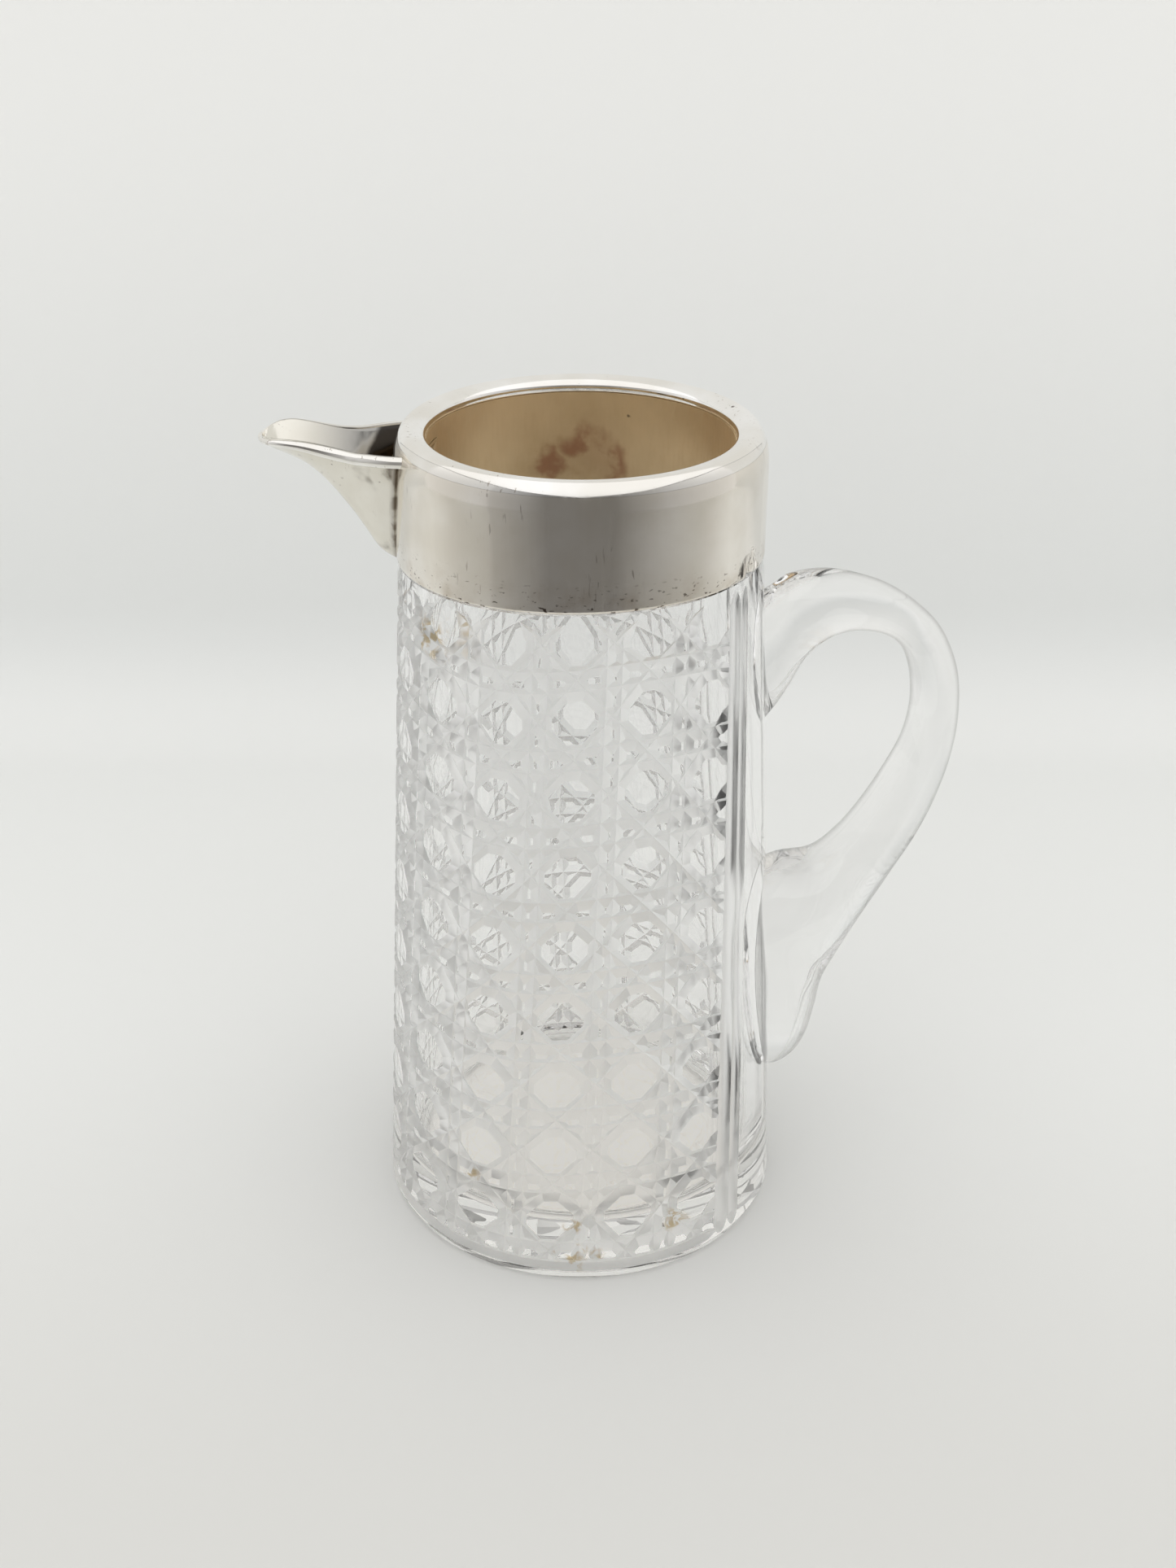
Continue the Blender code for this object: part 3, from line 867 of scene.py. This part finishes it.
def thumb_mark(azimuth, height, centre):
    """A leaf-shaped hollow that starts at the collar's lower edge."""
    across = (azimuth - centre) / 3.4
    up = (height - COLLAR_BOTTOM) / 8.5
    lean = across - 0.35 * up
    inside = 1.0 - (abs(lean) / max(1.0 - max(up, 0.0), 0.05)) ** 2
    return 1.1 * max(inside, 0.0) * (1.0 - min(max(up, 0.0), 1.0)) ** 0.5 if up < 1.0 else 0.0


def mount_tilt(radius, azimuth, height):
    """The mount leans a little towards the front, more so the higher up."""
    share = np.clip((height - COLLAR_BOTTOM) / (RIM_CROWN[1] - SHOULDER - COLLAR_BOTTOM), 0.0, 1.0)
    return height - MOUNT_TILT * share * radius * cos(radians(azimuth))


def collar_shape(radius, azimuth, height):
    down = 1 - ease(height, COLLAR_BOTTOM, COLLAR_BOTTOM + 20.0)
    up = ease(RIM_CROWN[1] - SHOULDER - height, 0.0, 10.0)
    turn = (azimuth + 180.0) % 360.0 - 180.0
    tilted = mount_tilt(radius, azimuth, height)
    radius += uneven(azimuth, height, 0.05) * up
    radius -= sum(thumb_mark(turn, height, centre) for centre in (62.0, 88.0))
    return radius, tilted + collar_slant(azimuth) * down


def rounded(centre, sizes, start, end, steps, power):
    """Part of a superellipse round a centre. An angle of 0 points outwards and 90 up."""
    angles = np.radians(np.linspace(start, end, steps + 1))
    across = np.sign(np.cos(angles)) * np.abs(np.cos(angles)) ** (2 / power)
    up = np.abs(np.sin(angles)) ** (2 / power)
    return [(centre[0] + sizes[0] * x, centre[1] + sizes[1] * z) for x, z in zip(across, up)]


def shoulder_part(inset, start, end, steps):
    foot = RIM_CROWN[1] - SHOULDER
    sizes = (COLLAR_RADIUS - RIM_CROWN[0] - inset, SHOULDER - inset)
    return rounded((RIM_CROWN[0], foot), sizes, start, end, steps, SHOULDER_POWER)


def make_collar(finish):
    inside = COLLAR_RADIUS - SLEEVE_SHEET
    over = shoulder_part(0.0, SEAM_ANGLE, 0, 20)
    under = shoulder_part(SLEEVE_SHEET, 0, SEAM_ANGLE, 6)
    foot = RIM_CROWN[1] - SHOULDER
    round_edge = arc((inside + 0.45, COLLAR_BOTTOM + 0.45), (0.45, 0.45), 0, -180, 8)
    profile = over[:-1] + straight((COLLAR_RADIUS, foot), (COLLAR_RADIUS, COLLAR_BOTTOM + 0.45), 40)[:-1]
    profile += round_edge
    profile += straight((inside, COLLAR_BOTTOM + 0.45), (inside, foot), 4)[1:-1] + under
    collar = turned("silver_collar", profile, 360, finish, collar_shape, 40.0)
    return pierce(collar, 40.0)


def pour_hole():
    """The pour hole's section as a prism through the left side of the neck."""
    section = [
        (-HOLE_BOTTOM[1], HOLE_BOTTOM[0]),
        (HOLE_BOTTOM[1], HOLE_BOTTOM[0]),
        (HOLE_TOP[1], HOLE_TOP[0]),
        (-HOLE_TOP[1], HOLE_TOP[0]),
    ]
    return cutter_mesh("pour_hole", [[[(x, y, z) for y, z in section] for x in (-60.0, -36.0)]])


def pierce(obj, sharp):
    finish = obj.data.materials[0]
    cut_away(obj, pour_hole())
    obj.data.materials.clear()
    obj.data.materials.append(finish)
    smooth(obj.data, sharp)
    return obj


def liner_shape(radius, azimuth, height):
    return radius + uneven(azimuth + 40.0, height, 0.06), mount_tilt(radius, azimuth, height)


def make_liner(finish):
    outside = LINER_BORE + SLEEVE_SHEET
    top = RIM_LIP[1] - RIM_WALL - 0.05
    profile = straight((outside, top), (outside, LINER_BOTTOM), 4)
    profile += straight((LINER_BORE, LINER_BOTTOM), (LINER_BORE, top), 16)
    return pierce(turned("tarnished_liner", profile, 240, finish, liner_shape), 35.0)


def tilt_only(radius, azimuth, height):
    return radius, mount_tilt(radius, azimuth, height)


def make_rim(finish):
    over = shoulder_part(0.0, SEAM_ANGLE + 0.3, 90, 24)
    under = shoulder_part(RIM_SHEET, 90, SEAM_ANGLE + 0.3, 8)
    sizes = (RIM_CROWN[0] - RIM_LIP[0], RIM_CROWN[1] - RIM_LIP[1])
    slope = rounded((RIM_CROWN[0], RIM_LIP[1]), sizes, 90, 180, 24, RIM_LIP_POWER)
    foot = RIM_LIP[1] - RIM_WALL
    back = RIM_LIP[0] + RIM_SHEET
    wall = [(RIM_LIP[0], foot + 0.3), (RIM_LIP[0] + 0.3, foot)]
    wall += [(back, foot), (back + 0.4, RIM_CROWN[1] - 2.2)]
    profile = over + slope[1:] + wall + under
    return turned("mouth_rim_dome", profile, 360, finish, tilt_only, 50.0)


def make_plaster(finish):
    """The cap of plaster between the two sleeves, over the glass neck."""
    inside, outside = LINER_BORE + SLEEVE_SHEET + 0.3, COLLAR_RADIUS - SLEEVE_SHEET - 0.3
    foot = GLASS_TOP + 0.3
    rough = [(outside - 1.0, PLASTER_TOP), (inside + 2.0, PLASTER_TOP + 0.4), (inside, PLASTER_TOP - 0.6)]
    profile = [(inside, foot), (outside, foot), (outside, PLASTER_TOP - 1.5), *rough]
    plaster = turned("plaster_cap", profile, 160, finish, tilt_only)
    return pierce(plaster, 35.0)


# ---------------------------------------------------------------- spout


def spout_row(x):
    """Half width and height of the lip, and height of the keel, at a distance along the spout."""
    places = np.interp(-x, -SPOUT_STATIONS[:, 0], np.arange(len(SPOUT_STATIONS)))
    return smooth_path(SPOUT_STATIONS, [places])[0][1:]


def spout_point(x, t):
    """A point of the sheet: t is -1 and 1 at the two lips and 0 at the keel."""
    half, lip, keel = spout_row(x)
    rise = abs(t) ** KEEL_ROUNDNESS
    return np.array([x, np.sign(t) * half * rise**CHEEK_SWELL, keel + (lip - keel) * rise])


def spout_start(t):
    """Where a line of the sheet meets the collar."""
    near, far = -48.0, -60.0
    for _ in range(30):
        middle = (near + far) / 2
        point = spout_point(middle, t)
        if hypot(point[0], point[1]) < COLLAR_RADIUS - 0.1:
            near = middle
        else:
            far = middle
    return near


def spout_grid(rings, sides):
    """Points of the sheet's middle, ring by ring from the collar to the tip."""
    shares = np.linspace(0.0, 1.0, rings)
    grid = []
    for share in shares:
        ring = []
        for t in np.linspace(-1.0, 1.0, sides):
            start = spout_start(t)
            x = start + (SPOUT_STATIONS[-1, 0] - start) * share
            ring.append(spout_point(x, t))
        grid.append(ring)
    return np.array(grid)


def make_spout(finish):
    rings, sides = 60, 61
    grid = spout_grid(rings, sides)
    mesh = mesh_from("spout_beak", grid.reshape(-1, 3), grid_faces(rings, sides, False, False))
    spout = add_object("spout_beak", mesh, finish)
    sheet = spout.modifiers.new("Sheet", "SOLIDIFY")
    sheet.thickness = SPOUT_SHEET * MM
    sheet.offset = 0.0
    sheet.use_even_offset = True
    smooth(mesh, 50.0)
    return spout


def lip_path():
    """The line of the spout's edge, from the collar round the tip and back."""
    places = np.linspace(spout_start(1.0) + LIP_OVERLAP, SPOUT_STATIONS[-1, 0], 40)
    half = [spout_point(x, 1.0) for x in places]
    tip = np.array([SPOUT_TIP_X, 0.0, SPOUT_STATIONS[-1, 2]])
    corners = np.array([*half, tip, *[p * (1, -1, 1) for p in half[::-1]]])
    return smooth_path(corners, np.linspace(0, len(corners) - 1, LIP_RINGS))


def make_lip(finish):
    """Half-round moulding along the spout's edge, thinner round the tip."""
    path = lip_path()
    count = len(path)
    section = [(0.45, 0.35), *arc((0.0, -1.25), (1.75, 1.6), 80, -90, 14)]
    section += [(-0.55, -2.7), (-0.75, -1.2), (-0.6, 0.1)]
    points = []
    for i, place in enumerate(path):
        ahead = path[min(i + 1, count - 1)] - path[max(i - 1, 0)]
        outwards = np.cross(ahead, (0.0, 0.0, 1.0))
        outwards[2] = 0.0
        outwards /= np.linalg.norm(outwards)
        size = 1.12 - 0.6 * ease(-place[0], 70.0, 89.0)
        for n, h in section:
            points.append(place + outwards * n * size + np.array([0, 0, h * size]))
    faces = grid_faces(count, len(section), False, True)
    faces.append(tuple(range(len(section))))
    faces.append(tuple((count - 1) * len(section) + j for j in range(len(section))))
    mesh = mesh_from("spout_lip", points, faces)
    return add_object("spout_lip", smooth(mesh, 50.0), finish)


# ---------------------------------------------------------------- stage


def stage_material(name, near, far, wall_low, wall_high):
    """Pale paper sweep. Painted light: the floor glows a little under the jug, in place of light coming
    through the glass. Painted shade darkens the floor towards the front and the wall towards its foot. Its
    back is clear, so it hides nothing from behind.
    """
    made, nodes, links = new_material(name)
    shader = nodes["Principled BSDF"]
    shader.inputs["Roughness"].default_value = 0.85
    shader.inputs["Specular IOR Level"].default_value = 0.2
    y, z = object_axes(nodes, links)[1:]
    # Painted shade: the floor is darker towards the front and the wall darker towards its foot
    floor = blend_colours(nodes, links, remap(nodes, links, y, -0.22, 0.1), near, far)
    wall = blend_colours(nodes, links, remap(nodes, links, z, 0.0, 0.35), wall_low, wall_high)
    # Painted light: a glow on the floor under the jug
    below = remap(nodes, links, axis_distance(nodes, links), 0.052, 0.066, JUG_GLOW, 0.0)
    shader.inputs["Emission Color"].default_value = (1.0, 0.98, 0.94, 1.0)
    links.new(below, shader.inputs["Emission Strength"])
    risen = remap(nodes, links, z, 0.004, 0.05)
    links.new(blend_colours(nodes, links, risen, floor, wall), shader.inputs["Base Color"])
    clear = node(nodes, "ShaderNodeBsdfTransparent")
    side = node(nodes, "ShaderNodeNewGeometry")
    choice = node(nodes, "ShaderNodeMixShader")
    links.new(side.outputs["Backfacing"], choice.inputs["Fac"])
    links.new(shader.outputs["BSDF"], choice.inputs[1])
    links.new(clear.outputs["BSDF"], choice.inputs[2])
    links.new(choice.outputs["Shader"], nodes["Material Output"].inputs["Surface"])
    return made


def make_stage():
    """Floor that curves up into a wall behind the jug."""
    profile = [(FLOOR_FRONT, FLOOR_Z), (-0.6, FLOOR_Z)]
    bend = arc((WALL_Y - COVE_RADIUS, FLOOR_Z + COVE_RADIUS), (COVE_RADIUS, COVE_RADIUS), -90, 0, 24)
    profile += bend + [(WALL_Y, WALL_HEIGHT)]
    points = [(x, y, z) for y, z in profile for x in (-STAGE_HALF_WIDTH, STAGE_HALF_WIDTH)]
    mesh = bpy.data.meshes.new("sweep")
    faces = [(2 * i, 2 * i + 1, 2 * i + 3, 2 * i + 2) for i in range(len(profile) - 1)]
    mesh.from_pydata(points, [], faces)
    mesh.shade_smooth()
    # Painted shade: darker paper near the front and at the wall's foot
    near, far = (0.72, 0.715, 0.69), (0.85, 0.855, 0.84)
    low, high = (0.79, 0.80, 0.79), (0.93, 0.93, 0.915)
    finish = stage_material("paper", near, far, low, high)
    add_object("sweep", mesh, finish)


def dim_material(name, tone, opacity, faded):
    """A dim surface, faint when seen through glass. A faded one shows fully in front only."""
    made, nodes, links = new_material(name)
    nodes.remove(nodes["Principled BSDF"])
    glow = node(nodes, "ShaderNodeEmission")
    glow.inputs["Color"].default_value = (*tone, 1.0)
    clear = node(nodes, "ShaderNodeBsdfTransparent")
    path = node(nodes, "ShaderNodeLightPath")
    share = remap(nodes, links, path.outputs["Transmission Depth"], 2.4, 2.6, opacity, 0.1 * opacity)
    if faded:
        x, y = object_axes(nodes, links)[:2]
        azimuth = calc(nodes, links, "ARCTAN2", x, calc(nodes, links, "MULTIPLY", y, -1.0))
        fade = node(nodes, "ShaderNodeMapRange")
        links.new(calc(nodes, links, "ABSOLUTE", azimuth), fade.inputs["Value"])
        fade.inputs["From Min"].default_value = radians(DIM_FULL)
        fade.inputs["From Max"].default_value = radians(DIM_END)
        fade.inputs["To Min"].default_value = 1.0
        fade.inputs["To Max"].default_value = 0.06
        step_left = remap(nodes, links, azimuth, *np.radians(DIM_STEP).tolist(), 0.8, 1.0)
        share = calc(nodes, links, "MULTIPLY", share, fade.outputs["Result"])
        share = calc(nodes, links, "MULTIPLY", share, step_left)
    choice = node(nodes, "ShaderNodeMixShader")
    links.new(share, choice.inputs["Fac"])
    links.new(clear.outputs["BSDF"], choice.inputs[1])
    links.new(glow.outputs["Emission"], choice.inputs[2])
    links.new(choice.outputs["Shader"], nodes["Material Output"].inputs["Surface"])
    return made


def curved_card(name, low, high, finish):
    """A screen round the front, from one height to another. Both are functions of the azimuth."""
    points = []
    azimuths = np.linspace(-DIM_EDGE[-1][0], DIM_EDGE[-1][0], 75)
    for azimuth in azimuths:
        for height in (low(abs(azimuth)), high(abs(azimuth))):
            points.append(around(CARD_DISTANCE, azimuth, height))
    mesh = bpy.data.meshes.new(name)
    faces = [(2 * i, 2 * i + 1, 2 * i + 3, 2 * i + 2) for i in range(len(azimuths) - 1)]
    mesh.from_pydata(points, [], faces)
    card = add_object(name, mesh, finish)
    card.visible_camera = False
    card.visible_diffuse = False
    card.visible_shadow = False


def make_dim_room():
    """The dim room in front of the table and the light tent's dark edge, as the silver mirrors them."""
    azimuths, tops, bands = zip(*DIM_EDGE)

    def top(azimuth):
        return np.interp(azimuth, azimuths, tops)

    def below_band(azimuth):
        return top(azimuth) - np.interp(azimuth, azimuths, bands)

    room = dim_material("dim_room", (0.195, 0.19, 0.183), 1.0, True)
    curved_card("dim_room", lambda azimuth: 0.0, below_band, room)
    frame_edge = dim_material("tent_edge", (0.16, 0.155, 0.15), 0.8, False)
    curved_card("tent_edge", below_band, top, frame_edge)


def make_world():
    """Even white light from all round, brightest overhead."""
    world = bpy.data.worlds.new("studio")
    bpy.context.scene.world = world
    world.use_nodes = True
    nodes, links = world.node_tree.nodes, world.node_tree.links
    place = node(nodes, "ShaderNodeTexCoord")
    split = node(nodes, "ShaderNodeSeparateXYZ")
    links.new(place.outputs["Generated"], split.inputs["Vector"])
    high = remap(nodes, links, split.outputs["Z"], 0.1, 0.75, 0.9, 1.12)
    links.new(high, nodes["Background"].inputs["Strength"])
    nodes["Background"].inputs["Color"].default_value = (1.0, 0.998, 0.99, 1.0)


def make_camera():
    """The view from in front and above."""
    pitch, yaw, roll = radians(CAMERA_PITCH), radians(CAMERA_YAW), radians(CAMERA_ROLL)
    forward = Vector((0.0, cos(pitch), -sin(pitch)))
    right = Vector((1.0, 0.0, 0.0))
    up = right.cross(forward)
    place = Vector(CAMERA_TARGET) - forward * CAMERA_DISTANCE
    turned_forward = forward * cos(yaw) + right * sin(yaw)
    turned_right = right * cos(yaw) - forward * sin(yaw)
    rolled_right = turned_right * cos(roll) + up * sin(roll)
    rolled_up = up * cos(roll) - turned_right * sin(roll)
    data = bpy.data.cameras.new("camera")
    data.sensor_width = 36.0
    data.lens = CAMERA_LENS
    camera = bpy.data.objects.new("camera", data)
    bpy.context.scene.collection.objects.link(camera)
    axes = Matrix((rolled_right, rolled_up, -turned_forward)).transposed()
    camera.matrix_world = Matrix.Translation(place) @ axes.to_4x4()
    bpy.context.scene.camera = camera


def set_render_look():
    scene = bpy.context.scene
    scene.view_settings.view_transform = "Standard"
    scene.view_settings.look = "None"
    scene.cycles.max_bounces = 24
    scene.cycles.transmission_bounces = 24
    scene.cycles.glossy_bounces = 8
    scene.cycles.transparent_max_bounces = 16


# ---------------------------------------------------------------- assembly


def place_piece(piece, slot, *nodes):
    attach(piece, "root")
    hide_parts(*nodes)


# Stains and flaws in the glass: a place and a radius
GLASS_STAINS = (
    ((-3.0, -63.5, 9.0), 7.0),
    ((5.5, -63.5, 10.5), 3.2),
    ((-2.0, -62.5, 21.0), 4.0),
    ((30.0, -56.0, 17.0), 6.0),
    ((-34.0, -53.0, 33.0), 4.0),
    ((-42.0, -34.0, 205.0), 9.0),
)
HANDLE_FLAWS = (
    ((105.0, -9.5, 144.5), 0.9),
    ((104.6, -9.5, 141.5), 0.7),
    ((109.5, -8.0, 196.0), 1.6),
)
crystal = crystal_material("crystal", GLASS_STAINS, (0.50, 0.34, 0.15), 0.3)
# Painted shade for the handle's outline at grazing angles
handle_painted_edge_shade = (0.34, 0.335, 0.325)
handle_glass = crystal_material("handle_glass", HANDLE_FLAWS, (0.3, 0.28, 0.26), 0.0, handle_painted_edge_shade)
silver = silver_material("silver", (0.885, 0.85, 0.795), 0.05, COLLAR_BOTTOM)
bright_silver = silver_material("silver_rim", (0.95, 0.94, 0.925), 0.035)
spout_silver = spout_material("silver_spout", (0.84, 0.82, 0.76), 0.08)
tarnish = tarnished_material("tarnished_silver")
plaster = plaster_material("plaster")

place_piece(make_glass_body(crystal), "crystal", "glass_body")
place_piece(make_handle(handle_glass), "handle_glass", "handle")
place_piece(make_collar(silver), "silver", "collar_sleeve")
place_piece(make_rim(bright_silver), "silver_rim", "mouth_rim")
place_piece(make_liner(tarnish), "tarnished_silver", "inner_liner")
place_piece(make_spout(spout_silver), "silver_spout", "spout_shell")
place_piece(make_lip(bright_silver), "silver_spout", "spout_lip_wire")
place_piece(make_plaster(plaster), "plaster", "plaster_bed")
throat = frame["nodes"]["spout_throat"]
throat.data.materials.clear()
throat.data.materials.append(tarnish)

make_stage()
make_dim_room()
make_world()
make_camera()
set_render_look()
